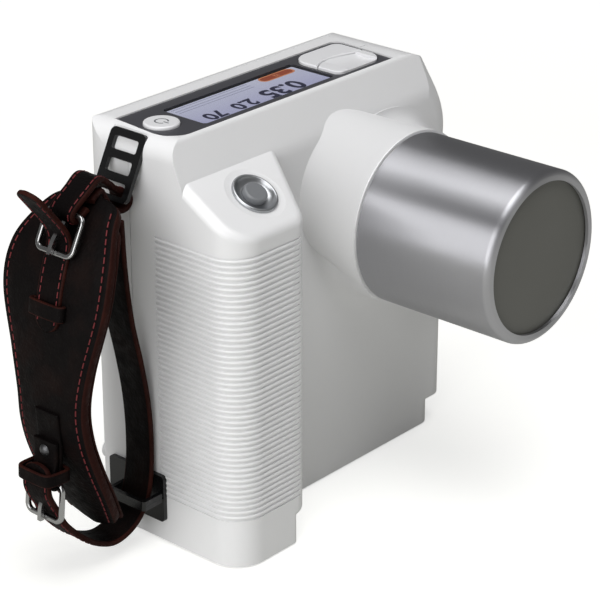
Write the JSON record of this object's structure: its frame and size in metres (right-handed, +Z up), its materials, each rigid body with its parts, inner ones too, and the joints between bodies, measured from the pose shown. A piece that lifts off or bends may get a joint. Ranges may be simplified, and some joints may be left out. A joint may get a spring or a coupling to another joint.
{
  "type": "portable dental x-ray unit",
  "caption": "Hand-held dental x-ray unit: white body with ribbed grip, aluminium cone, top panel with screen and keys, tilted exposure button and a buckled leather hand strap.",
  "frame": {"origin": "mouth of the threaded tripod socket in the base, under the beam axis and on the parting plane of the housing halves", "axes": "+Z up, -Y along the beam out of the cone, -X towards the grip and the hand strap"},
  "size_m": [0.2203, 0.1342, 0.1685],
  "materials": {
    "white_abs": "satin white moulded plastic",
    "button_white": "satin white keys",
    "panel_grey": "dark grey panel sheet",
    "screen_glass": "clear screen cover",
    "screen_face": "pale screen",
    "aluminium": "brushed",
    "steel": "bright zinc",
    "chrome": "polished",
    "gunmetal": "grey metal",
    "buckle_metal": "nickel plated",
    "black_plate": "black enamel",
    "window_grey": "dark grey window",
    "black_rubber": "black rubber",
    "black_plastic": "black moulded plastic",
    "leather": "black leather",
    "leather_edge": "dark brown leather lining",
    "lead": "lead",
    "brass": "turned brass",
    "copper": "copper",
    "board_green": "circuit board",
    "tube_glass": "glass envelope",
    "battery_wrap": "shrink wrap"
  },
  "bodies": {
    "unit": {"anode": "copper", "base_plate": "white_abs", "base_screws": "steel", "battery_pack": "battery_wrap", "beam_filter": "aluminium", "cathode": "steel", "charging_jack": "black_plastic", "collimator": "lead", "cone_lining": "lead", "cone_tube": "aluminium", "cone_window": "window_grey", "control_board": "board_green", "control_overlay": "panel_grey", "display_module": "screen_face", "display_window": "screen_glass", "exposure_bezel": "chrome", "exposure_switch": "black_plastic", "front_housing": "white_abs", "generator_tank": "aluminium", "housing_screws": "steel", "keypad_mat": "black_rubber", "multiplier_board": "board_green", "neck_ring": "aluminium", "panel_frame": "black_plastic", "power_board": "board_green", "rear_housing": "white_abs", "rubber_feet": "black_rubber", "strap_plate_lower": "black_plate", "strap_plate_upper": "black_plate", "tank_cover": "aluminium", "transformer": "lead", "tripod_bush": "brass", "window_seal": "black_rubber", "xray_tube_glass": "tube_glass"},
    "strap": {"hand_pad": "leather", "pad_lining": "leather_edge", "upper_loop": "leather", "pad_tongue": "leather", "lower_chape": "leather", "long_belt": "leather", "upper_keeper": "leather", "lower_keeper": "leather", "pad_rivet": "buckle_metal", "upper_buckle": "buckle_metal", "lower_buckle": "buckle_metal"},
    "power_button": {"power_button": "button_white"},
    "rear_key": {"rear_key": "button_white"},
    "front_key": {"front_key": "button_white"},
    "exposure_button": {"exposure_button": "gunmetal"},
    "upper_prong": {"upper_prong": "buckle_metal"},
    "lower_prong": {"lower_prong": "buckle_metal"}
  },
  "joints": [
    {"name": "power_press", "type": "slide", "parent": "unit", "child": "power_button", "axis": [0, 0, -1], "range_m": [0, 0.0008], "stiffness_N_per_m": 600},
    {"name": "rear_key_press", "type": "slide", "parent": "unit", "child": "rear_key", "axis": [0, 0, -1], "range_m": [0, 0.0008], "stiffness_N_per_m": 600},
    {"name": "front_key_press", "type": "slide", "parent": "unit", "child": "front_key", "axis": [0, 0, -1], "range_m": [0, 0.0008], "stiffness_N_per_m": 600},
    {"name": "exposure_press", "type": "slide", "parent": "unit", "child": "exposure_button", "axis": [0, 0.5075, -0.8616], "range_m": [0, 0.0016], "stiffness_N_per_m": 600},
    {"name": "strap_swing", "type": "hinge", "parent": "unit", "child": "strap", "pos_m": [-0.1224, -0.0019, 0.082], "axis": [0, 0.0536, 0.9986], "range_deg": [-6, 6]},
    {"name": "upper_prong_swing", "type": "hinge", "parent": "strap", "child": "upper_prong", "pos_m": [-0.15247, -0.005, 0.14727], "axis": [0, 1, 0], "range_deg": [0, 8]},
    {"name": "lower_prong_swing", "type": "hinge", "parent": "strap", "child": "lower_prong", "pos_m": [-0.16862, -0.005, 0.04546], "axis": [0, 1, 0], "range_deg": [0, 8]}
  ]
}
